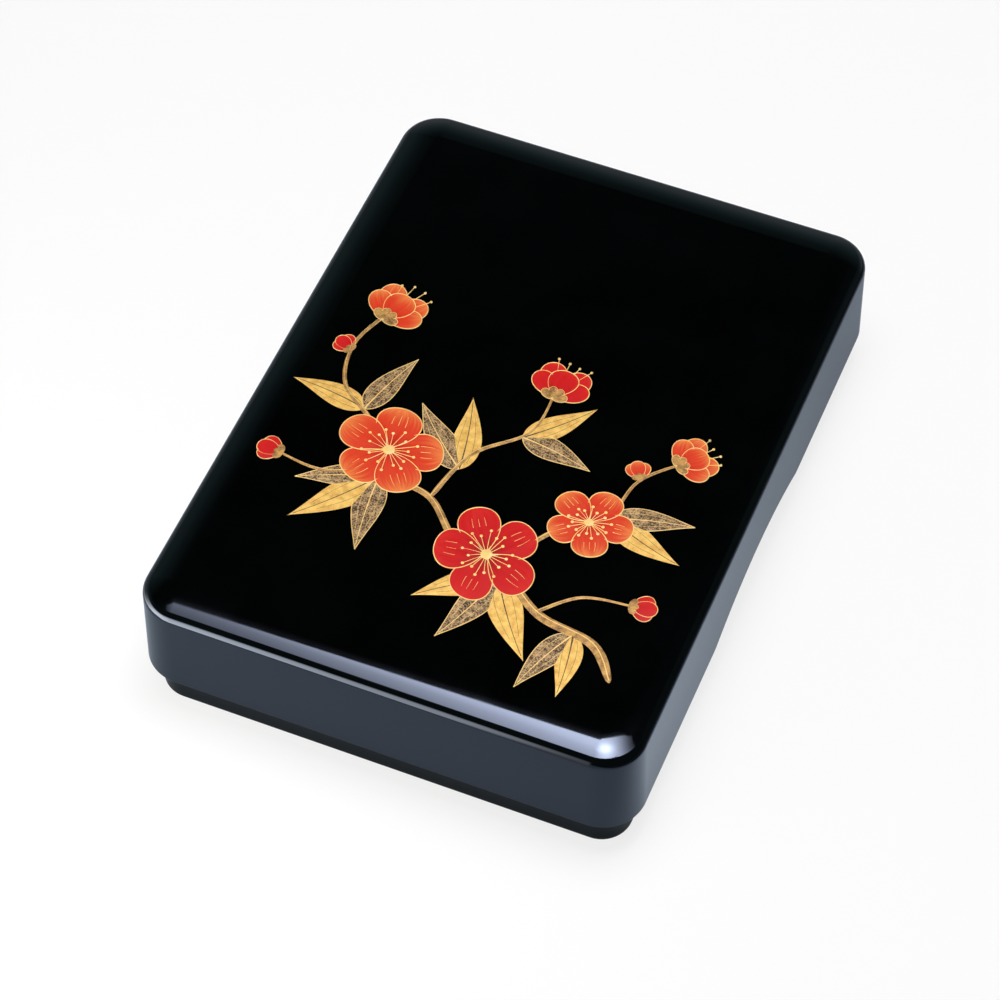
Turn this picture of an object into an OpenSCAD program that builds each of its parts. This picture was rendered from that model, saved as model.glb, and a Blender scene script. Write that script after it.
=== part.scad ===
// Lacquered document box: a round-cornered tray under a crowned lid that slips down over it.
// Each half is a frame of four walls and four corner blocks, held by loose splines in the seams,
// with a board stepped into the frame. Origin: middle of the underside. Front is -Y, up is +Z.
// In the profiles, u runs outward from the upright axis that a corner is turned about.

/* [Overall] */
// Width across the lid's rim
lid_width = 241; // [200:1:300]
// Length along the lid's rim
lid_length = 330; // [260:1:420]
// Height of the closed box
closed_height = 72.8; // [60:0.1:110]
// Height of the tray that shows below the lid
reveal = 21; // [10:1:30]
// Radius of the lid's corners at the rim
corner_radius = 20.5; // [19:0.5:30]

/* [Lid] */
// Thickness of the lid's walls at the rim
lid_wall = 5.1; // [4.5:0.1:6]
// Lean of the lid's walls in degrees, wider at the rim
draft = 1.15; // [0:0.05:2]
// Thickness of the top board in its middle
top_thickness = 7.5; // [6:0.1:12]
// Depth of the step that sets the top board inside the lid's walls
top_step = 1.5; // [0.5:0.1:3]
// Radius of the fillet at the shoulder
shoulder_radius = 5; // [2:0.1:6]
// Width of the crowned band between the shoulder and the flat top
crown_run = 14; // [8:0.5:14]
// Slope in degrees where the crown meets the shoulder
crown_slope = 20; // [10:1:25]
// Radius that eases both edges of the lid's rim
lid_rim_radius = 1; // [0.4:0.1:2]

/* [Finger notches] */
// Length of each notch along the rim
notch_length = 110; // [60:1:180]
// Height of each notch above the rim
notch_height = 9; // [5:0.5:15]
// Chamfer along the edges of each notch
notch_chamfer = 0.8; // [0.2:0.1:1.5]

/* [Tray] */
// Clearance between the tray and the inside of the lid
fit_gap = 0.8; // [0.4:0.1:2]
// Thickness of the tray's walls
tray_wall = 4.6; // [4:0.1:7]
// Thickness of the bottom board
bottom_thickness = 6.5; // [5.5:0.1:10]
// Height of the step that sets the bottom board inside the tray's walls
bottom_step = 1.5; // [0.5:0.1:2]
// Radius of the tray's lower edge
foot_radius = 3.2; // [1:0.1:4]
// Radius that eases both edges of the tray's rim
tray_rim_radius = 1; // [0.4:0.1:1.8]

/* [Joinery] */
// Thickness of each spline
spline_thickness = 1.6; // [1:0.1:2]
// Width of each spline across its seam
spline_width = 6; // [4:0.5:8]
// Distance by which the splines stop short of the rims
spline_stop = 5; // [3:0.5:12]
// Diameter of the wooden pegs
peg_diameter = 2.4; // [1.5:0.1:3]
// Depth of the pegs in the tray's walls
peg_depth = 14; // [8:1:30]
// Ground and lacquer that cover each peg on the underside
peg_cover = 1.5; // [1:0.1:2.5]
// Room that each peg takes along a wall
peg_spacing = 50; // [30:1:80]
// Thickness of the glue around splines, pegs and steps
glue_gap = 0.1; // [0.05:0.01:0.2]

/* [Hidden] */
$fn = 96;

lacquer = "#10181a";
bare_wood = "#b98f5f";

// How far a cut runs past the solid that it cuts
past = 1;

// Signs of the sides along X and Y
left = -1;
right = 1;
front = -1;
rear = 1;

// Upright axes of the corners, shared by lid and tray
axis_x = lid_width / 2 - corner_radius;
axis_y = lid_length / 2 - corner_radius;

// Faces of the walls, measured outward from those axes
lid_inner = corner_radius - lid_wall;
tray_outer = lid_inner - fit_gap;
tray_inner = tray_outer - tray_wall;

// Levels of the boards
ceiling_z = closed_height - top_thickness;
top_seat_z = ceiling_z + top_step;
bottom_seat_z = bottom_thickness - bottom_step;
lid_rim_z = reveal + lid_rim_radius;
tray_rim_z = ceiling_z - tray_rim_radius;
peg_top_z = bottom_seat_z + peg_depth;

// Outer face of the lid's wall at a height
function lid_face(z) = corner_radius - (z - lid_rim_z) * tan(draft);

// Crown, an arc that falls from the flat top to its slope at the shoulder
crown_radius = crown_run / sin(crown_slope);
crown_edge_z = closed_height - crown_radius * (1 - cos(crown_slope));
// Shoulder, a fillet that is tangent to the crown and to the drafted wall
shoulder_z = crown_edge_z - shoulder_radius * cos(crown_slope);
shoulder_foot_z = shoulder_z + shoulder_radius * sin(draft);
shoulder_u = lid_face(shoulder_foot_z) - shoulder_radius * cos(draft);
crown_edge_u = shoulder_u + shoulder_radius * sin(crown_slope);
flat_u = crown_edge_u - crown_run;

// Circle that the finger notches follow
notch_radius = (pow(notch_length / 2, 2) + pow(notch_height, 2)) / (2 * notch_height);
notch_axis_z = reveal + notch_height - notch_radius;

// Middles of the seams between walls and corner blocks
lid_seam_u = (lid_inner + lid_face(top_seat_z)) / 2;
tray_seam_u = (tray_inner + tray_outer) / 2;

// Pegs along one wall of a given length
function peg_count(length) = max(2, round(length / peg_spacing));
function peg_place(index, length) = length * ((index + 0.5) / peg_count(length) - 0.5);

// Slice of a disc between two directions in degrees
module sector(radius, start, end) {
    reach = 2 * radius;
    intersection() {
        circle(radius);
        polygon([[0, 0], reach * [cos(start), sin(start)], reach * [cos(end), sin(end)]]);
    }
}

// Profile under the lid's outer surface, from a corner's axis outward
module lid_outline() {
    polygon([
        [0, lid_rim_z],
        [corner_radius, lid_rim_z],
        [lid_face(shoulder_foot_z), shoulder_foot_z],
        [crown_edge_u, crown_edge_z],
        [flat_u, closed_height],
        [0, closed_height]
    ]);
    translate([shoulder_u, shoulder_z])
        sector(shoulder_radius, draft, 90 - crown_slope);
    translate([flat_u, closed_height - crown_radius])
        sector(crown_radius, 90 - crown_slope, 90);
}

module lid_wall_profile() {
    intersection() {
        lid_outline();
        translate([lid_inner, lid_rim_z])
            square([lid_wall + past, top_seat_z - lid_rim_z]);
    }
    translate([lid_inner + lid_rim_radius, reveal])
        square([lid_wall - 2 * lid_rim_radius, lid_rim_radius]);
    translate([corner_radius - lid_rim_radius, lid_rim_z])
        sector(lid_rim_radius, -90, 0);
    translate([lid_inner + lid_rim_radius, lid_rim_z])
        sector(lid_rim_radius, 180, 270);
}

module top_board_profile() {
    intersection() {
        lid_outline();
        translate([0, top_seat_z])
            square([corner_radius + past, top_thickness + past]);
    }
    translate([0, ceiling_z])
        square([lid_inner - glue_gap, top_step]);
}

// Profile under the tray's outer surface, from a corner's axis outward
module tray_outline() {
    translate([0, foot_radius])
        square([tray_outer, ceiling_z - foot_radius]);
    square([tray_outer - foot_radius, foot_radius]);
    translate([tray_outer - foot_radius, foot_radius])
        sector(foot_radius, -90, 0);
}

module tray_wall_profile() {
    translate([tray_inner, bottom_seat_z])
        square([tray_wall, tray_rim_z - bottom_seat_z]);
    translate([tray_inner + tray_rim_radius, tray_rim_z])
        square([tray_wall - 2 * tray_rim_radius, tray_rim_radius]);
    translate([tray_outer - tray_rim_radius, tray_rim_z])
        sector(tray_rim_radius, 0, 90);
    translate([tray_inner + tray_rim_radius, tray_rim_z])
        sector(tray_rim_radius, 90, 180);
}

module bottom_board_profile() {
    intersection() {
        tray_outline();
        translate([0, -past])
            square([tray_outer + past, bottom_seat_z + past]);
    }
    translate([0, bottom_seat_z])
        square([tray_inner - glue_gap, bottom_step]);
}

// Straight run of a profile along a long side
module long_side(side) {
    mirror([side == left ? 1 : 0, 0, 0])
        translate([axis_x, 0, 0])
            rotate([90, 0, 0])
                linear_extrude(2 * axis_y, center = true)
                    children();
}

// Straight run of a profile along a short side
module short_side(side) {
    mirror([0, side == front ? 1 : 0, 0])
        translate([0, axis_y, 0])
            rotate([90, 0, 90])
                linear_extrude(2 * axis_x, center = true)
                    children();
}

// Quarter turn of a profile at a corner
module corner(side, end) {
    mirror([side == left ? 1 : 0, 0, 0])
        mirror([0, end == front ? 1 : 0, 0])
            translate([axis_x, axis_y, 0])
                rotate_extrude(angle = 90)
                    children();
}

// Board that carries one profile along all its edges
module board(low, high) {
    translate([-axis_x, -axis_y, low])
        cube([2 * axis_x, 2 * axis_y, high - low]);
    for (side = [left, right]) {
        long_side(side) children();
        for (end = [front, rear])
            corner(side, end) children();
    }
    for (end = [front, rear])
        short_side(end) children();
}

// Spline, or with growth the groove that takes it
module spline(low, high, growth = 0) {
    width = spline_width + 2 * growth;
    thickness = spline_thickness + 2 * growth;
    translate([-width / 2, -thickness / 2, low])
        cube([width, thickness, high - low]);
}

// Copies of a spline or groove at the eight seams of a frame
module at_seams(seam_u) {
    for (side = [left, right], end = [front, rear]) {
        translate([side * axis_x, end * (axis_y + seam_u), 0])
            children();
        translate([side * (axis_x + seam_u), end * axis_y, 0])
            rotate(90)
                children();
    }
}

// Grooves are stopped at the rim, and open under the board that closes the frame
module lid_grooves() {
    at_seams(lid_seam_u)
        spline(reveal + spline_stop - glue_gap, top_seat_z + past, glue_gap);
}

module tray_grooves() {
    at_seams(tray_seam_u)
        spline(bottom_seat_z - past, ceiling_z - spline_stop + glue_gap, glue_gap);
}

// Arched cut across a long wall of the lid, with chamfered edges
module finger_notch(side) {
    face = axis_x + corner_radius;
    back = axis_x + lid_inner;
    mirror([side == left ? 1 : 0, 0, 0])
        translate([0, 0, notch_axis_z])
            rotate([0, 90, 0]) {
                translate([0, 0, back - past])
                    cylinder(h = face - back + 2 * past, r = notch_radius);
                translate([0, 0, face - notch_chamfer])
                    cylinder(h = 2 * notch_chamfer, r1 = notch_radius, r2 = notch_radius + 2 * notch_chamfer);
                translate([0, 0, back - notch_chamfer])
                    cylinder(h = 2 * notch_chamfer, r1 = notch_radius + 2 * notch_chamfer, r2 = notch_radius);
            }
}

// Copies of a peg or hole along the four walls of the tray
module at_pegs() {
    for (side = [left, right], index = [0 : peg_count(2 * axis_y) - 1])
        translate([side * (axis_x + tray_seam_u), peg_place(index, 2 * axis_y), 0])
            children();
    for (end = [front, rear], index = [0 : peg_count(2 * axis_x) - 1])
        translate([peg_place(index, 2 * axis_x), end * (axis_y + tray_seam_u), 0])
            children();
}

module peg_holes() {
    at_pegs()
        translate([0, 0, peg_cover - glue_gap])
            cylinder(h = peg_top_z - peg_cover + 2 * glue_gap, d = peg_diameter + 2 * glue_gap);
}

module lid_top_board() {
    color(lacquer)
        board(ceiling_z, closed_height) top_board_profile();
}

module lid_short_wall(end) {
    color(lacquer)
        difference() {
            short_side(end) lid_wall_profile();
            lid_grooves();
        }
}

module lid_long_wall(side) {
    color(lacquer)
        difference() {
            long_side(side) lid_wall_profile();
            lid_grooves();
            finger_notch(side);
        }
}

module lid_corner(side, end) {
    color(lacquer)
        difference() {
            corner(side, end) lid_wall_profile();
            lid_grooves();
        }
}

module lid_splines() {
    color(bare_wood)
        at_seams(lid_seam_u)
            spline(reveal + spline_stop, top_seat_z - glue_gap);
}

module tray_bottom_board() {
    color(lacquer)
        difference() {
            board(0, bottom_thickness) bottom_board_profile();
            peg_holes();
        }
}

module tray_short_wall(end) {
    color(lacquer)
        difference() {
            short_side(end) tray_wall_profile();
            tray_grooves();
            peg_holes();
        }
}

module tray_long_wall(side) {
    color(lacquer)
        difference() {
            long_side(side) tray_wall_profile();
            tray_grooves();
            peg_holes();
        }
}

module tray_corner(side, end) {
    color(lacquer)
        difference() {
            corner(side, end) tray_wall_profile();
            tray_grooves();
        }
}

module tray_splines() {
    color(bare_wood)
        at_seams(tray_seam_u)
            spline(bottom_seat_z + glue_gap, ceiling_z - spline_stop);
}

module tray_pegs() {
    color(bare_wood)
        at_pegs()
            translate([0, 0, peg_cover])
                cylinder(h = peg_top_z - peg_cover, d = peg_diameter);
}

lid_top_board();
lid_short_wall(front);  // lid_front_wall
lid_short_wall(rear);  // lid_rear_wall
lid_long_wall(left);  // lid_left_wall
lid_long_wall(right);  // lid_right_wall
lid_corner(left, front);  // lid_front_left_corner
lid_corner(right, front);  // lid_front_right_corner
lid_corner(left, rear);  // lid_rear_left_corner
lid_corner(right, rear);  // lid_rear_right_corner
lid_splines();
tray_bottom_board();
tray_short_wall(front);  // tray_front_wall
tray_short_wall(rear);  // tray_rear_wall
tray_long_wall(left);  // tray_left_wall
tray_long_wall(right);  // tray_right_wall
tray_corner(left, front);  // tray_front_left_corner
tray_corner(right, front);  // tray_front_right_corner
tray_corner(left, rear);  // tray_rear_left_corner
tray_corner(right, rear);  // tray_rear_right_corner
tray_splines();
tray_pegs();
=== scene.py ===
"""A black lacquered document box: finishes for its solids, a raised design on the lid, and a studio."""
import functools
import math
import random

import bpy
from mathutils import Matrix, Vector


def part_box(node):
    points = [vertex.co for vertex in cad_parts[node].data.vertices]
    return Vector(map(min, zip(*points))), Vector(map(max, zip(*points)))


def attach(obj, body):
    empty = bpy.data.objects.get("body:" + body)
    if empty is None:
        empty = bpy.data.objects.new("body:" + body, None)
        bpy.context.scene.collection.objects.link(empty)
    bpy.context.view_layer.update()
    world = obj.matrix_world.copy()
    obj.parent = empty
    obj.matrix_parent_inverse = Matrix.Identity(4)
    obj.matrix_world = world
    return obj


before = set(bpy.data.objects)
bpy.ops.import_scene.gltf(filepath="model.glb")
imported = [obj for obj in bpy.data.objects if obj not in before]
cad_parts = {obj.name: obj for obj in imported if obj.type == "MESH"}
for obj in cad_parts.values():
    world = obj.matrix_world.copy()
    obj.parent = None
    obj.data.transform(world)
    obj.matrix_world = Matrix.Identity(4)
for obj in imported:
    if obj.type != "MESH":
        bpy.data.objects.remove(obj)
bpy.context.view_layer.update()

MM = 0.001
rng = random.Random(11)

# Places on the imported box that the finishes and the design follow, in metres
CORNER_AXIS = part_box("lid_rear_right_corner")[0][:2]
LID_INNER_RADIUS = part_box("lid_right_wall")[0][0] - CORNER_AXIS[0]
TRAY_INNER_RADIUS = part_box("tray_right_wall")[0][0] - CORNER_AXIS[0]
LID_CEILING, LID_TOP = (corner[2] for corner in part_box("lid_top_board"))
TRAY_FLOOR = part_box("tray_bottom_board")[1][2]


# Shader building
class Nodes:
    """A shader's nodes, and short ways to add to them. A value is a number, a colour or a node's output."""

    def __init__(self, tree):
        self.tree = tree

    def put(self, node, name, value):
        """Sets or links the input of that name or number."""
        if isinstance(value, bpy.types.NodeSocket):
            self.tree.links.new(value, node.inputs[name])
        else:
            node.inputs[name].default_value = value

    def add(self, kind, sockets=None, **settings):
        """A new node with those inputs and settings."""
        node = self.tree.nodes.new(kind)
        for name, value in settings.items():
            setattr(node, name, value)
        for name, value in (sockets or {}).items():
            self.put(node, name, value)
        return node

    def split(self, place):
        """The X, Y and Z of a place or direction."""
        return self.add("ShaderNodeSeparateXYZ", {0: place}).outputs

    def math(self, operation, first, second=0.0):
        node = self.add("ShaderNodeMath", {0: first, 1: second}, operation=operation)
        return node.outputs[0]

    def total(self, *values):
        """The values added up."""
        return functools.reduce(functools.partial(self.math, "ADD"), values)

    def product(self, *values):
        """The values multiplied together."""
        return functools.reduce(functools.partial(self.math, "MULTIPLY"), values)

    def noise(self, where, scale, detail=2.0, roughness=0.5):
        """Cloudy noise with that many waves to a unit of length."""
        sockets = {"Vector": where, "Scale": scale, "Detail": detail, "Roughness": roughness}
        return self.add("ShaderNodeTexNoise", sockets).outputs["Fac"]

    def spread(self, value, low, high, to_low=0.0, to_high=1.0):
        """Maps low..high to to_low..to_high with soft ends, and stops there."""
        sockets = {"Value": value, "From Min": low, "From Max": high, "To Min": to_low, "To Max": to_high}
        return self.add("ShaderNodeMapRange", sockets, interpolation_type="SMOOTHSTEP").outputs["Result"]

    def vary(self, noise, low=0.0, high=1.0):
        """Goes from low to high over the range where most of a noise lies."""
        return self.spread(noise, 0.3, 0.7, low, high)

    def hump(self, value, middle, width):
        """A soft rise to 1 at the middle value."""
        away = self.math("DIVIDE", self.math("SUBTRACT", value, middle), width)
        return self.math("EXPONENT", self.product(away, away, -0.5))

    def mix(self, factor, first, second):
        """A colour between two colours."""
        node = self.add("ShaderNodeMix", data_type="RGBA")
        self.put(node, 0, factor)
        self.put(node, 6, first)
        self.put(node, 7, second)
        return node.outputs[2]

    def mix_shaders(self, factor, first, second):
        """A shader between two nodes' shaders."""
        sockets = {0: factor, 1: first.outputs[0], 2: second.outputs[0]}
        return self.add("ShaderNodeMixShader", sockets).outputs[0]

    def ray(self, kind):
        """1 for light paths of that kind, such as Is Glossy Ray."""
        return self.add("ShaderNodeLightPath").outputs[kind]

    def seen(self):
        """1 for what the camera sees, straight or through something clear."""
        return self.math("MAXIMUM", self.ray("Is Camera Ray"), self.ray("Is Transmission Ray"))


class Finish(Nodes):
    """A material."""

    def __init__(self, name):
        self.material = bpy.data.materials.new(name)
        self.material.use_nodes = True
        super().__init__(self.material.node_tree)
        self.surface = self.tree.nodes["Principled BSDF"]

    def set(self, **values):
        """Sets or links inputs of the main shader, with _ for a space in the name."""
        for name, value in values.items():
            self.put(self.surface, name.replace("_", " "), value)

    def show(self, shader):
        """Makes that shader the surface."""
        self.put(self.tree.nodes["Material Output"], "Surface", shader)

    def place(self):
        """The object's own coordinates in metres, which move with it."""
        return self.add("ShaderNodeTexCoord").outputs["Object"]

    def attribute(self, name):
        return self.add("ShaderNodeAttribute", attribute_name=name).outputs["Fac"]

    def bump(self, height, depth):
        """Surface detail of that depth in metres."""
        node = self.add("ShaderNodeBump", {"Height": height, "Distance": depth, "Strength": 1.0})
        self.set(Normal=node.outputs["Normal"])


def colour(red, green, blue):
    """A colour given as it looks on screen, 0 to 255, as the shader wants it."""
    def linear(level):
        level = level / 255
        return level / 12.92 if level <= 0.04045 else ((level + 0.055) / 1.055) ** 2.4
    return (linear(red), linear(green), linear(blue), 1.0)


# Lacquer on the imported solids
BLACK = (0.0003, 0.0004, 0.0004, 1)
CLOUDED_BLACK = (0.0006, 0.0008, 0.0008, 1)
SATIN_BLACK = (0.0030, 0.0032, 0.0033, 1)
# Tints of the lacquer's reflections: a painted stand-in for the bluish colour of the light they mirror, so
# that the lamps can stay near white
LID_SHEEN = (0.62, 0.74, 0.97, 1)
TRAY_SHEEN = (0.56, 0.76, 0.92, 1)
RADIUS_SLACK = 0.4 * MM
HEIGHT_SLACK = 0.2 * MM


def inside_of(finish, where, inner_radius, low, high):
    """1 on inner faces: within the inner radius of the corner axes, or between them, from low to high."""
    part = finish.split(where)
    past_axis = [
        finish.math("MAXIMUM", finish.math("SUBTRACT", finish.math("ABSOLUTE", part[k]), CORNER_AXIS[k]))
        for k in (0, 1)]
    reach = finish.math("SQRT", finish.total(*(finish.product(away, away) for away in past_axis)))
    return finish.product(
        finish.math("LESS_THAN", reach, inner_radius + RADIUS_SLACK),
        finish.math("GREATER_THAN", part["Z"], low - HEIGHT_SLACK),
        finish.math("LESS_THAN", part["Z"], high + HEIGHT_SLACK))


def black_lacquer(name, index, sheen, inner_radius, inner_low, inner_high):
    """Polished black lacquer outside and satin inside, faintly clouded and rippled."""
    finish = Finish(name)
    where = finish.place()
    inside = inside_of(finish, where, inner_radius, inner_low, inner_high)
    cloud = finish.noise(where, 35.0, detail=3.0)
    haze = finish.noise(where, 420.0, detail=4.0)
    polished = finish.vary(cloud, 0.05, 0.085)
    satin = finish.vary(haze, 0.26, 0.36)
    duller = finish.product(inside, finish.math("SUBTRACT", satin, polished))
    body = finish.mix(finish.spread(cloud, 0.35, 0.7), BLACK, CLOUDED_BLACK)
    finish.set(Base_Color=finish.mix(inside, body, SATIN_BLACK), Roughness=finish.total(polished, duller))
    # The sheen tints the reflections, as a painted stand-in for bluish light
    finish.set(IOR=index, Specular_Tint=sheen)

    ripple = finish.noise(where, 75.0, detail=1.0)
    peel = finish.noise(where, 900.0, detail=1.0)
    finish.bump(finish.total(ripple, finish.product(peel, 0.05)), 0.012 * MM)
    return finish.material


def bare_wood(name):
    """Pale straight-grained wood for the splines and pegs inside the walls."""
    finish = Finish(name)
    stretched = finish.add("ShaderNodeMapping", {"Vector": finish.place(), "Scale": (900.0, 900.0, 60.0)})
    grain = finish.noise(stretched.outputs["Vector"], 1.0, detail=4.0)
    pores = finish.noise(finish.place(), 2600.0, detail=2.0)
    pale = finish.mix(finish.spread(grain, 0.35, 0.65), colour(205, 172, 128), colour(176, 138, 94))
    finish.set(Base_Color=finish.mix(finish.spread(pores, 0.62, 0.75), pale, colour(140, 104, 68)))
    finish.set(Roughness=finish.vary(grain, 0.55, 0.7))
    finish.bump(grain, 0.04 * MM)
    return finish.material


# Finishes of the design
GOLD = colour(244, 204, 108)
DEEP_GOLD = colour(218, 166, 72)
PALE_GOLD = colour(240, 212, 146)
# A paler gold for the brightest grains, partly a real pale gold and partly a painted glint
PALE_GRAIN_AND_GLINT = colour(255, 226, 160)
DARK_GROUND = colour(34, 24, 16)


def gold_powder(name, light, deep, coverage, grains):
    """Gold dust sprinkled on lacquer: grains of two golds, the brightest partly painted as glints, with the
    dark ground where they are sparse.
    """
    finish = Finish(name)
    where = finish.place()
    grain = finish.noise(where, grains, detail=2.0, roughness=0.7)
    patch = finish.noise(where, 260.0, detail=3.0)
    gold = finish.mix(finish.vary(patch), deep, light)
    # The brightest grains go paler: partly a paler gold, partly painted glints
    gold = finish.mix(finish.spread(grain, 0.5, 0.72, 0.0, 0.35), gold, PALE_GRAIN_AND_GLINT)
    density = finish.total(grain, finish.product(patch, 0.35))
    covered = finish.spread(density, 0.66 - 0.30 * coverage, 0.86 - 0.30 * coverage)
    finish.set(Base_Color=finish.mix(covered, DARK_GROUND, gold))
    finish.set(Metallic=0.25, Roughness=finish.vary(grain, 0.38, 0.6), IOR=1.5)
    finish.bump(grain, 0.03 * MM)
    return finish.material


def red_lacquer(name, heart, middle, rim):
    """Coloured lacquer on a petal, shaded from its root to its rim with fine streaks along it."""
    finish = Finish(name)
    along = finish.attribute("along")
    across = finish.attribute("across")
    tone = finish.attribute("tone")
    lane = finish.add("ShaderNodeCombineXYZ", {
        "X": finish.product(across, 9.0),
        "Y": finish.product(along, 1.6),
        "Z": finish.product(tone, 40.0)})
    streak = finish.noise(lane.outputs[0], 1.0, detail=3.0)
    depth = finish.total(along, finish.product(finish.math("SUBTRACT", streak, 0.5), 0.55))
    inner = finish.mix(finish.spread(depth, 0.08, 0.5), heart, middle)
    shade = finish.mix(finish.spread(depth, 0.5, 1.0), inner, rim)
    dust = finish.noise(finish.place(), 1900.0, detail=1.0)
    finish.set(Base_Color=finish.mix(finish.spread(dust, 0.66, 0.8, 0.0, 0.35), shade, rim))
    finish.set(Roughness=finish.vary(streak, 0.32, 0.45), Specular_IOR_Level=0.3)
    finish.bump(streak, 0.02 * MM)
    return finish.material


# The raised design
def eased(count):
    """Steps from 0 to 1 that lie closer together towards both ends."""
    return [(1 - math.cos(math.pi * i / count)) / 2 for i in range(count + 1)]


class Relief:
    """Raised work of one finish, gathered into one mesh. Sizes are millimetres on the lid's flat top."""

    # How far the underside is sunk in the lid
    SINK = 0.02
    # Section of a ridge: places across its half width, and how much of the rise each has
    RIDGE = ((-1.0, 0.0), (-0.55, 0.8), (0.0, 1.0), (0.55, 0.8), (1.0, 0.0))

    def __init__(self, name, material, slot):
        self.name = name
        self.material = material
        self.slot = slot
        self.points = []
        self.faces = []
        self.along = []
        self.across = []
        self.tone = []

    def grid(self, rows, heights, tone):
        """A closed low solid: a top through rows of points at their heights, sides, and a flat underside."""
        first = len(self.points)
        last = len(rows) - 1
        width = len(rows[0])
        for i, row in enumerate(rows):
            for j, (x, y) in enumerate(row):
                self.vertex(x, y, heights[i][j], i / last, 2 * j / (width - 1) - 1, tone)
        under = len(self.points)
        for i, row in enumerate(rows):
            for j, across in ((0, -1), (-1, 1)):
                self.vertex(*row[j], -self.SINK, i / last, across, tone)

        def top(i, j):
            return first + i * width + j

        def low(i, side):
            return under + 2 * i + side

        for i in range(last):
            for j in range(width - 1):
                self.faces.append((top(i, j), top(i + 1, j), top(i + 1, j + 1), top(i, j + 1)))
            self.faces.append((low(i, 0), low(i, 1), low(i + 1, 1), low(i + 1, 0)))
            self.faces.append((low(i, 0), low(i + 1, 0), top(i + 1, 0), top(i, 0)))
            self.faces.append((top(i, width - 1), top(i + 1, width - 1), low(i + 1, 1), low(i, 1)))
        self.faces.append((low(0, 1), low(0, 0), *(top(0, j) for j in range(width))))
        self.faces.append((low(last, 0), low(last, 1), *(top(last, j) for j in reversed(range(width)))))

    def vertex(self, x, y, z, along, across, tone):
        self.points.append((x * MM, y * MM, LID_TOP + z * MM))
        self.along.append(along)
        self.across.append(across)
        self.tone.append(tone)

    def fill(self, blade, base, rise, rows=26, columns=8):
        """A leaf or petal: nearly flat, falling away to its edge."""
        sides = [2 * j / columns - 1 for j in range(columns + 1)]
        points = []
        heights = []
        for s in eased(rows):
            swell = rise * (1 - (2 * s - 1) ** 6)
            points.append([blade.point(s, t) for t in sides])
            heights.append([base + swell * (1 - t ** 4) for t in sides])
        self.grid(points, heights, rng.random())

    def line(self, path, width, base, rise):
        """A rounded ridge along a path. The width is a number, or a function of 0 to 1 along the path."""
        last = len(path) - 1
        points = []
        heights = []
        for i, (x, y) in enumerate(path):
            before = path[max(i - 1, 0)]
            after = path[min(i + 1, last)]
            turn = math.atan2(after[1] - before[1], after[0] - before[0])
            half = (width(i / last) if callable(width) else width) / 2
            side = (-math.sin(turn) * half, math.cos(turn) * half)
            points.append([(x + side[0] * t, y + side[1] * t) for t, _ in self.RIDGE])
            heights.append([base + rise * lift for _, lift in self.RIDGE])
        self.grid(points, heights, rng.random())

    def dot(self, centre, size, base, rise):
        """A small round drop."""
        disc = Blade((centre[0] - size / 2, centre[1]), 0, size, size, outline=round_outline)
        self.fill(disc, base, rise, rows=8, columns=6)

    def build(self):
        mesh = bpy.data.meshes.new(self.name)
        mesh.from_pydata(self.points, [], self.faces)
        for name, values in (("along", self.along), ("across", self.across), ("tone", self.tone)):
            mesh.attributes.new(name, "FLOAT", "POINT").data.foreach_set("value", values)
        mesh.polygons.foreach_set("use_smooth", [True] * len(mesh.polygons))
        mesh.set_sharp_from_angle(angle=math.radians(40))
        mesh.materials.append(self.material)
        piece = bpy.data.objects.new(self.name, mesh)
        bpy.context.scene.collection.objects.link(piece)
        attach(piece, "lid")


def round_outline(s):
    """Half width of a disc along its axis, for a full width of 1."""
    return math.sqrt(max(s * (1 - s), 0))


def petal_outline(s):
    """Half width of a round petal that narrows to its root."""
    return round_outline(s ** 1.45)


def leaf_outline(s):
    """Half width of a long leaf with a round root and a drawn-out tip."""
    return 0.5 * max(math.sin(math.pi * s ** 0.62), 0) ** 1.08


class Blade:
    """A leaf or petal on the lid: a bent axis from its root, and a half width along it."""

    THINNEST = 0.05
    # Where the line round a blade runs, as a share of its half width
    EDGE = 0.97

    def __init__(self, root, angle, length, width, bend=0.0, outline=leaf_outline, warp=None):
        self.root = root
        self.angle = math.radians(angle)
        self.length = length
        self.width = width
        self.bend = bend
        self.outline = outline
        self.warp = warp

    def point(self, s, t):
        """The point at s along the axis, 0 to 1, and t across it, -1 to 1."""
        half = max(self.width * self.outline(s), self.THINNEST) * t
        lean = math.atan(2 * self.bend * s)
        along = self.length * s - half * math.sin(lean)
        aside = self.length * self.bend * s * s + half * math.cos(lean)
        x = self.root[0] + along * math.cos(self.angle) - aside * math.sin(self.angle)
        y = self.root[1] + along * math.sin(self.angle) + aside * math.cos(self.angle)
        return self.warp(x, y) if self.warp else (x, y)

    def path(self, t, start, end, count=20):
        """A line along the blade at the same t."""
        return [self.point(start + (end - start) * i / count, t) for i in range(count + 1)]

    def edge(self, count=26):
        """The line round the blade from its root over its tip and back."""
        steps = eased(count)
        out = [self.point(s, self.EDGE) for s in steps]
        back = [self.point(s, -self.EDGE) for s in reversed(steps)]
        return out + back[1:]


def smooth_path(points, per_span=9):
    """A curve through the points."""
    def between(a, b, c, d, t):
        """The value at t on the way from b to c, with a before them and d after."""
        return 0.5 * (2 * b + (c - a) * t + (2 * a - 5 * b + 4 * c - d) * t ** 2
                      + (3 * b - a - 3 * c + d) * t ** 3)

    ends = [points[0], *points, points[-1]]
    path = []
    for k in range(len(points) - 1):
        for i in range(per_span):
            path.append(tuple(between(*values, i / per_span) for values in zip(*ends[k:k + 4])))
    path.append(points[-1])
    return path


def toward(point, angle, distance):
    """The point that far away in that direction."""
    turn = math.radians(angle)
    return (point[0] + distance * math.cos(turn), point[1] + distance * math.sin(turn))


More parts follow.
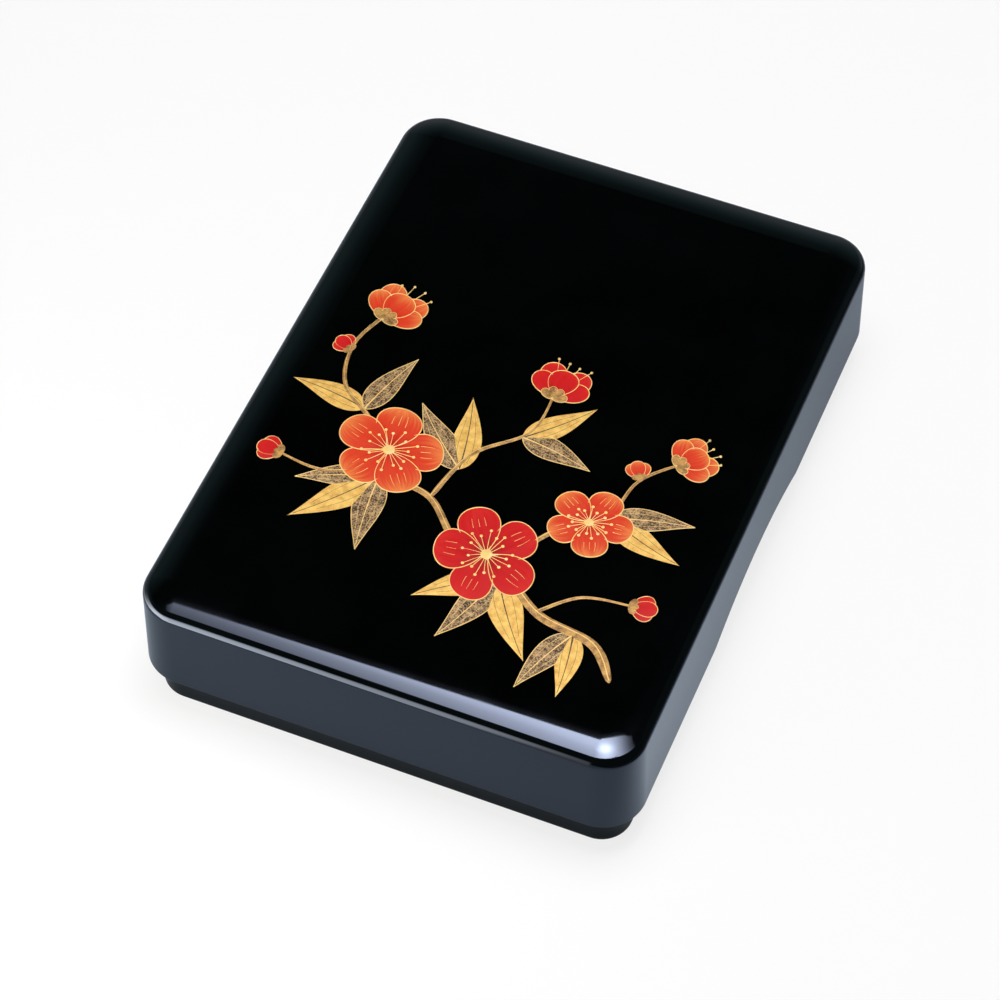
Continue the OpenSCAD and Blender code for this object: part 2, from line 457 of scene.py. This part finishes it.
def gold_relief(name, finish_name, light, deep, coverage, grains):
    """Raised work in gold powder."""
    return Relief(name, gold_powder(finish_name, light, deep, coverage, grains), "gold_powder")


def petal_relief(name, finish_name, heart, middle, rim):
    """Raised work in red and orange lacquer."""
    return Relief(name, red_lacquer(finish_name, heart, middle, rim), "red_lacquer")


gold_leaves = gold_relief("grass_leaves_gold", "gold_leaf_powder", GOLD, DEEP_GOLD, 1.15, 1500.0)
brown_leaves = gold_relief("grass_leaves_dark", "dark_leaf_powder",
                           colour(186, 152, 104), colour(130, 98, 62), 0.42, 1150.0)
bough = gold_relief("plum_bough", "bough_powder", colour(204, 156, 80), colour(140, 98, 50), 0.85, 1700.0)
gold_lines = gold_relief("gold_lines", "gold_line_powder", PALE_GOLD, GOLD, 1.2, 2100.0)
ribs = gold_relief("dark_ribs", "rib_powder", colour(64, 46, 26), colour(30, 22, 14), 1.0, 2100.0)
red_petals = petal_relief("plum_petals_red", "vermilion_petal",
                          colour(158, 10, 14), colour(198, 18, 20), colour(210, 34, 28))
orange_petals = petal_relief("plum_petals_orange", "orange_petal",
                             colour(188, 18, 14), colour(214, 60, 28), colour(232, 134, 68))


def tapered(first, last):
    """A width that goes evenly from first to last along a path."""
    return lambda s: first + (last - first) * s


# Layers of the design in millimetres: how far above the lid each starts, and how much it rises from there
LEAF = (0.04, 0.10)
BRANCH = (0.10, 0.14)
BRANCH_SHINE = (0.14, 0.12)
HEART = (0.32, 0.14)
CUP = (0.38, 0.08)
BUD_CUP = (0.26, 0.08)

# Lines and dots of the design: the width of each, and then the same two heights
LEAF_RIB = (tapered(0.8, 0.3), 0.12, 0.05)
LEAF_VEIN = (0.22, 0.10, 0.05)
LEAF_EDGE = (0.42, 0.04, 0.10)
STAMEN = (0.34, 0.32, 0.06)
STAMEN_TIP = (1.5, 0.34, 0.10)
SIDE_STAMEN = (0.32, 0.26, 0.06)
SIDE_STAMEN_TIP = (1.3, 0.28, 0.08)
CUP_EDGE = (0.3, 0.38, 0.07)

# Petals of each kind of flower: where the lowest starts, the step up to the next, and the width of the edge
BLOSSOM_PETALS = (0.20, 0.035, 0.5)
OPENING_PETALS = (0.18, 0.035, 0.46)
BUD_PETALS = (0.16, 0.03, 0.38)
PETAL_RISE = 0.10
PETAL_EDGE_RISE = 0.08
PETAL_STREAK_RISE = 0.04

PETALS = 5
STAMENS = 18


def leaf(root, angle, length, width, bend, gilded):
    """A bamboo-grass leaf: gold with dark ribs, or dark with gold ribs and edge."""
    blade = Blade(root, angle, length, width, bend)
    ground = gold_leaves if gilded else brown_leaves
    ink = ribs if gilded else gold_lines
    ground.fill(blade, *LEAF)
    ink.line(blade.path(0.0, 0.0, 0.94), *LEAF_RIB)
    for t in (-0.52, 0.52):
        ink.line(blade.path(t, 0.10, 0.72), *LEAF_VEIN)
    if not gilded:
        gold_lines.line(blade.edge(), *LEAF_EDGE)


def lay_petal(petals, blade, layers, level, rows=26, columns=8):
    """A petal with a gold line round it, at that level of its flower's layers. Returns its height."""
    lowest, step, edge_width = layers
    lift = lowest + step * level
    petals.fill(blade, lift, PETAL_RISE, rows, columns)
    gold_lines.line(blade.edge(rows), edge_width, lift, PETAL_EDGE_RISE)
    return lift


def blossom(centre, radius, turn, petals, squeeze, lean):
    """An open plum blossom, turned a little away: round petals, long stamens and a small heart."""
    axis = math.radians(lean)

    def warp(x, y):
        away = ((x - centre[0]) * math.cos(axis) + (y - centre[1]) * math.sin(axis)) * (squeeze - 1)
        return (x + away * math.cos(axis), y + away * math.sin(axis))

    for k in range(PETALS):
        angle = turn + 360 / PETALS * k + rng.uniform(-3, 3)
        length = radius * rng.uniform(0.88, 0.96)
        width = radius * rng.uniform(0.80, 0.86)
        bend = rng.uniform(-0.04, 0.04)
        petal = Blade(toward(centre, angle, 0.07 * radius), angle, length, width, bend, petal_outline, warp)
        lift = lay_petal(petals, petal, BLOSSOM_PETALS, k % 3)
        for t in (-0.3, 0.0, 0.3):
            streak = petal.path(t, 0.55, 0.55 + rng.uniform(0.18, 0.30), 8)
            gold_lines.line(streak, tapered(0.3, 0.15), lift + PETAL_EDGE_RISE, PETAL_STREAK_RISE)
    for k in range(STAMENS):
        angle = turn + 180 / PETALS + 360 / STAMENS * k + rng.uniform(-4, 4)
        reach = radius * (0.48 if k % 2 else 0.36) * rng.uniform(0.92, 1.08)
        stem = Blade(centre, angle, reach, 1, rng.uniform(-0.08, 0.08), warp=warp).path(0.0, 0.12, 1.0, 8)
        gold_lines.line(stem, *STAMEN)
        gold_lines.dot(stem[-1], *STAMEN_TIP)
    gold_lines.dot(centre, radius * 0.2, *HEART)


def opening(base, radius, angle, petals):
    """A plum blossom seen from the side as it opens: petals in a fan over a small cup, stamens above."""
    widest = 58
    behind = ((-30, 1.0, 0.66), (30, 1.0, 0.66))
    in_front = ((-widest, 0.82, 0.56), (widest, 0.82, 0.56), (0, 0.80, 0.74))
    for k, (turn, reach, wide) in enumerate(behind + in_front):
        if k == len(behind):
            side_stamens(base, radius, angle)
        bend = -0.10 * turn / widest
        petal = Blade(base, angle + turn, radius * reach, radius * wide, bend, petal_outline)
        lay_petal(petals, petal, OPENING_PETALS, k)
    root = toward(base, angle + 180, 0.10 * radius)
    for turn in (-62, -20, 20, 62):
        cup = Blade(root, angle + turn, radius * 0.36, radius * 0.22, outline=petal_outline)
        bough.fill(cup, *CUP, rows=12, columns=6)
        gold_lines.line(cup.edge(12), *CUP_EDGE)


def side_stamens(base, radius, angle):
    """The stamens that show above the petals of an opening blossom."""
    for turn in (-24, -9, 6, 21):
        stem = Blade(base, angle + turn, radius * rng.uniform(1.0, 1.14), 1).path(0.0, 0.5, 1.0, 6)
        gold_lines.line(stem, *SIDE_STAMEN)
        gold_lines.dot(stem[-1], *SIDE_STAMEN_TIP)


def bud(base, size, angle, petals):
    """A round closed bud on a small cup."""
    for k, (turn, reach, wide) in enumerate(((-26, 0.92, 0.66), (26, 0.92, 0.66), (0, 1.0, 0.72))):
        petal = Blade(base, angle + turn, size * reach, size * wide, outline=petal_outline)
        lay_petal(petals, petal, BUD_PETALS, k, rows=14, columns=6)
    root = toward(base, angle + 180, 0.08 * size)
    for turn in (-48, 0, 48):
        cup = Blade(root, angle + turn, size * 0.42, size * 0.30, outline=petal_outline)
        bough.fill(cup, *BUD_CUP, rows=10, columns=6)


def twig(points, thick, thin):
    """A twig that starts with a short brushed point and thins out, with a bright line on its upper side."""
    thinning = tapered(thick, thin)

    def brushed(s):
        return thinning(s) * min(1.0, 0.12 + math.sqrt(s / 0.08))

    path = smooth_path(points)
    bough.line(path, brushed, *BRANCH)
    shine = [(x - 0.12 * thick, y + 0.22 * thick) for x, y in path]
    gold_lines.line(shine, tapered(0.16 + 0.16 * thick, 0.16), *BRANCH_SHINE)


# The design's layout, in millimetres from the lid's centre: a bough that rises from lower right to upper left
twig([(94, -124), (80, -108), (52, -102), (28, -86), (4, -80), (-18, -60), (-44, -54), (-60, -30), (-80, -14),
      (-86, 10), (-78, 34)], 5.0, 1.2)
twig([(26, -84), (40, -58), (60, -42), (66, -16), (82, 2)], 2.8, 1.0)
twig([(-18, -60), (-10, -30), (10, -8), (12, 18)], 2.6, 1.0)
twig([(-44, -54), (-70, -64), (-92, -62)], 2.2, 0.9)
twig([(50, -101), (66, -86), (88, -82)], 2.0, 0.9)

# Leaves at each root: angle, length, width, bend, and whether it is gilded
for root, leaves in (
    ((28, -90), ((-60, 46, 16, 0.10, True), (-104, 42, 15, -0.10, False), (-150, 40, 14, 0.10, True))),
    ((70, -106), ((-118, 38, 13, 0.12, False), (-76, 34, 12, -0.10, True))),
    ((-44, -58), ((-124, 46, 16, -0.10, True), (-86, 42, 15, 0.08, False), (-164, 38, 13, 0.10, False))),
    ((62, -40), ((-26, 40, 14, 0.12, True), (20, 38, 13, -0.10, False))),
    ((-12, -40), ((142, 42, 15, -0.10, False), (98, 42, 14, 0.10, True))),
    ((-66, -24), ((166, 38, 13, 0.12, True), (78, 38, 13, -0.10, False))),
    ((8, -12), ((42, 38, 13, 0.10, True), (-4, 36, 13, -0.12, False))),
):
    for angle, length, width, bend, gilded in leaves:
        leaf(root, angle, length, width, bend, gilded)

opening((-79, 30), 21, 70, orange_petals)
opening((12, 16), 20, 84, red_petals)
opening((80, 0), 18, 46, orange_petals)
bud((-91, -62), 12, 176, red_petals)
bud((88, -82), 12, 8, red_petals)
bud((-86, 6), 10, 150, red_petals)
bud((66, -14), 10, 118, orange_petals)
blossom((-46, -42), 27, 20, orange_petals, 0.92, 70)
blossom((18, -80), 27, 50, red_petals, 0.90, 30)
blossom((54, -46), 20, 5, orange_petals, 0.94, 100)

for relief in (gold_leaves, brown_leaves, bough, ribs, red_petals, orange_petals, gold_lines):
    relief.build()


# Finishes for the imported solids
HIDDEN_WOOD = ("lid_splines", "tray_splines", "tray_pegs")
ABOVE_ALL = 1.0
BELOW_ALL = 0.0

lid_lacquer = black_lacquer("lid_lacquer", 1.7, LID_SHEEN, LID_INNER_RADIUS, BELOW_ALL, LID_CEILING)
tray_lacquer = black_lacquer("tray_lacquer", 1.45, TRAY_SHEEN, TRAY_INNER_RADIUS, TRAY_FLOOR, ABOVE_ALL)
core_wood = bare_wood("core_wood")
for node_name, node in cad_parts.items():
    if node_name in HIDDEN_WOOD:
        material = core_wood
    elif node_name.startswith("lid_"):
        material = lid_lacquer
    else:
        material = tray_lacquer
    node.data.materials.clear()
    node.data.materials.append(material)


# Studio
WHITE = (1.0, 1.0, 1.0, 1)
COOL_LIGHT = (1.0, 0.96, 1.0, 1)
WARM_LIGHT = (1.0, 0.95, 0.88, 1)


def stage_mesh(name, points, faces, material):
    """A piece of the studio."""
    mesh = bpy.data.meshes.new(name)
    mesh.from_pydata(points, [], faces)
    mesh.polygons.foreach_set("use_smooth", [True] * len(mesh.polygons))
    mesh.materials.append(material)
    piece = bpy.data.objects.new(name, mesh)
    bpy.context.scene.collection.objects.link(piece)
    return piece


def around(azimuth, elevation, distance):
    """A place round the box. Azimuth 0 is in front of it, 90 on its right."""
    turn = math.radians(azimuth)
    rise = math.radians(elevation)
    return (math.sin(turn) * math.cos(rise) * distance, -math.cos(turn) * math.cos(rise) * distance,
            math.sin(rise) * distance)


def glowing(finish, level, tint, cover=1.0):
    """Turns the material into a lit diffuser, clear where the cover is 0."""
    glow = finish.add("ShaderNodeEmission", {"Color": tint, "Strength": level})
    clear = finish.add("ShaderNodeBsdfTransparent")
    finish.show(finish.mix_shaders(cover, clear, glow))
    return finish.material


def paper():
    """Blue-grey paper, with painted light on it: a paler patch close on the right stands in for a pool of
    light, and the dark further out on that side is painted shade.

    The camera sees it near white, and polished surfaces mirror a part of that white."""
    seen_white = 0.8
    mirrored_white = 0.15
    finish = Finish("studio_paper")
    where = finish.place()
    part = finish.split(where)
    tooth = finish.noise(where, 400.0)
    dull = finish.mix(tooth, (0.232, 0.302, 0.382, 1), (0.252, 0.322, 0.402, 1))
    # Painted light: a paler patch of paper beside the right wall, a pool of light that the right wall mirrors
    painted_light_tone = finish.mix(tooth, (0.59, 0.74, 0.86, 1), (0.63, 0.77, 0.89, 1))
    painted_light_patch = finish.product(
        finish.spread(part["X"], 0.10, 0.13),
        finish.spread(part["X"], 0.16, 0.26, 1.0, 0.0),
        finish.spread(part["Y"], -0.19, -0.10),
        finish.spread(part["Y"], -0.16, 0.20, 1.0, 0.0))
    # Painted shade: the paper goes dark further out on the right and mirrors less white there, so the right
    # edge mirrors a dark strip
    near = finish.spread(part["X"], 0.17, 0.27, 1.0, 0.1)
    paper_blue = finish.mix(near, (0.02, 0.025, 0.03, 1), finish.mix(painted_light_patch, dull, painted_light_tone))
    seen = finish.seen()
    finish.set(Base_Color=finish.mix(seen, paper_blue, (0.90, 0.90, 0.90, 1)))
    finish.set(Roughness=0.9, Specular_IOR_Level=0.0)
    glow = finish.add("ShaderNodeEmission", {"Color": WHITE, "Strength": 1.0})
    mirrored = finish.product(finish.ray("Is Glossy Ray"), near, mirrored_white)
    white_share = finish.total(finish.product(seen, seen_white), mirrored)
    finish.show(finish.mix_shaders(white_share, finish.surface, glow))
    return finish.material


def floor_disc(radius, sides=64):
    """The floor, a hair below the box so that their faces stay apart."""
    turns = [2 * math.pi * k / sides for k in range(sides)]
    rim = [(radius * math.cos(turn), radius * math.sin(turn), 0.0) for turn in turns]
    floor = stage_mesh("studio_floor", rim, [tuple(range(sides))], paper())
    floor.location.z = -0.2 * MM


def overhead_softbox():
    """A long diffuser above the box, turned aside and brightest in its middle, with a faint far edge."""
    half_length = 0.8
    near_side = -0.33
    far_side = 0.55
    finish = Finish("overhead_diffuser")
    part = finish.split(finish.place())
    ridge = finish.product(finish.hump(part["X"], 0.0, 0.32), 12.0)
    heart = finish.product(finish.hump(part["X"], 0.0, 0.12), finish.hump(part["Y"], -0.06, 0.12), 13.0)
    fade = finish.total(
        finish.spread(part["Y"], 0.28, 0.31, 1.0, 0.0),
        finish.spread(part["Y"], 0.29, far_side, 0.018, 0.0))
    level = finish.product(finish.total(ridge, heart), fade)
    corners = [(-half_length, near_side, 0.0), (-half_length, far_side, 0.0),
               (half_length, far_side, 0.0), (half_length, near_side, 0.0)]
    panel = stage_mesh("overhead_softbox", corners, [(0, 1, 2, 3)], glowing(finish, level, COOL_LIGHT))
    panel.location = (0.057, 0.040, 1.5)
    panel.rotation_euler.z = math.radians(35.3)
    panel.visible_camera = False


def low_card():
    """A low lit card that curves up from the floor round the front left of the box, brightest at its bend."""
    finish = Finish("card_diffuser")
    part = finish.split(finish.place())
    bearing = finish.math("ARCTAN2", part["X"], finish.product(part["Y"], -1.0))
    bright_bend = finish.product(finish.hump(bearing, math.radians(-38), 0.27), 6.5)
    level = finish.product(
        finish.total(3.5, bright_bend),
        finish.spread(bearing, math.radians(-4), math.radians(7), 1.0, 0.2),
        finish.spread(part["Z"], 0.10, 0.20, 1.0, 0.4))
    cover = finish.spread(bearing, math.radians(-76), math.radians(-46))

    # Its section, as distances from the bend's axis and heights, goes along the front and then the left side
    section = ((0.06, 0.002), (0.15, 0.008), (0.19, 0.03), (0.21, 0.07), (0.22, 0.20))
    axis_x = -0.22
    axis_y = -0.26
    right_end = 0.08
    rear_end = -0.06
    turns = [math.radians(270 - 9 * k) for k in range(11)]
    points = []
    for radius, height in section:
        points.append((right_end, axis_y - radius, height))
        points += [(axis_x + radius * math.cos(t), axis_y + radius * math.sin(t), height) for t in turns]
        points.append((axis_x - radius, rear_end, height))
    count = len(turns) + 2
    faces = [(k, k + 1, k + 1 + count, k + count) for k in range(len(points) - count) if (k + 1) % count]
    card = stage_mesh("low_card", points, faces, glowing(finish, level, WARM_LIGHT, cover))
    card.visible_camera = False


def dim_room():
    """Dark above, paler towards a far wall behind the box, and white where the camera sees past the floor."""
    world = bpy.data.worlds.new("dim_room")
    world.use_nodes = True
    room = Nodes(world.node_tree)
    direction = room.add("ShaderNodeTexCoord").outputs["Generated"]
    wall = room.add("ShaderNodeValToRGB", {0: room.split(direction)["Z"]})
    tones = wall.color_ramp.elements
    tones[0].color = (0.30, 0.32, 0.31, 1)
    tones[-1].position = 0.76
    tones[-1].color = (0.004, 0.005, 0.005, 1)
    for position, tone in ((0.22, (0.29, 0.31, 0.30, 1)), (0.48, (0.10, 0.155, 0.135, 1))):
        tones.new(position).color = tone
    wall_direction = (-0.56, 0.83, 0.0)
    facing = room.add("ShaderNodeVectorMath", {0: direction, 1: wall_direction}, operation="DOT_PRODUCT")
    behind = room.spread(facing.outputs["Value"], 0.0, 0.45)
    mirrored = room.mix(behind, (0.03, 0.045, 0.04, 1), wall.outputs[0])
    shown = room.mix(room.seen(), mirrored, (0.93, 0.93, 0.93, 1))
    room.put(room.tree.nodes["Background"], "Color", shown)
    bpy.context.scene.world = world


floor_disc(4.0)
overhead_softbox()
low_card()
dim_room()

# Camera at the photograph's angle: the point it looks at, and where it stands round that point
AIM = Vector((-0.000457, -0.01912, 0.030))
CAMERA_AZIMUTH = 22.320
CAMERA_ELEVATION = 52.651
CAMERA_DISTANCE = 1.670141
# Its focal length, in pixels of a frame that wide
FOCAL_LENGTH = 3574.955
FRAME_WIDTH = 1000

camera = bpy.data.cameras.new("camera")
camera.sensor_width = 36.0
camera.lens = FOCAL_LENGTH * camera.sensor_width / FRAME_WIDTH
viewpoint = bpy.data.objects.new("camera", camera)
viewpoint.location = AIM + Vector(around(CAMERA_AZIMUTH, CAMERA_ELEVATION, CAMERA_DISTANCE))
viewpoint.rotation_euler = (AIM - viewpoint.location).to_track_quat("-Z", "Y").to_euler()
bpy.context.scene.collection.objects.link(viewpoint)
bpy.context.scene.camera = viewpoint
bpy.context.scene.view_settings.view_transform = "Standard"
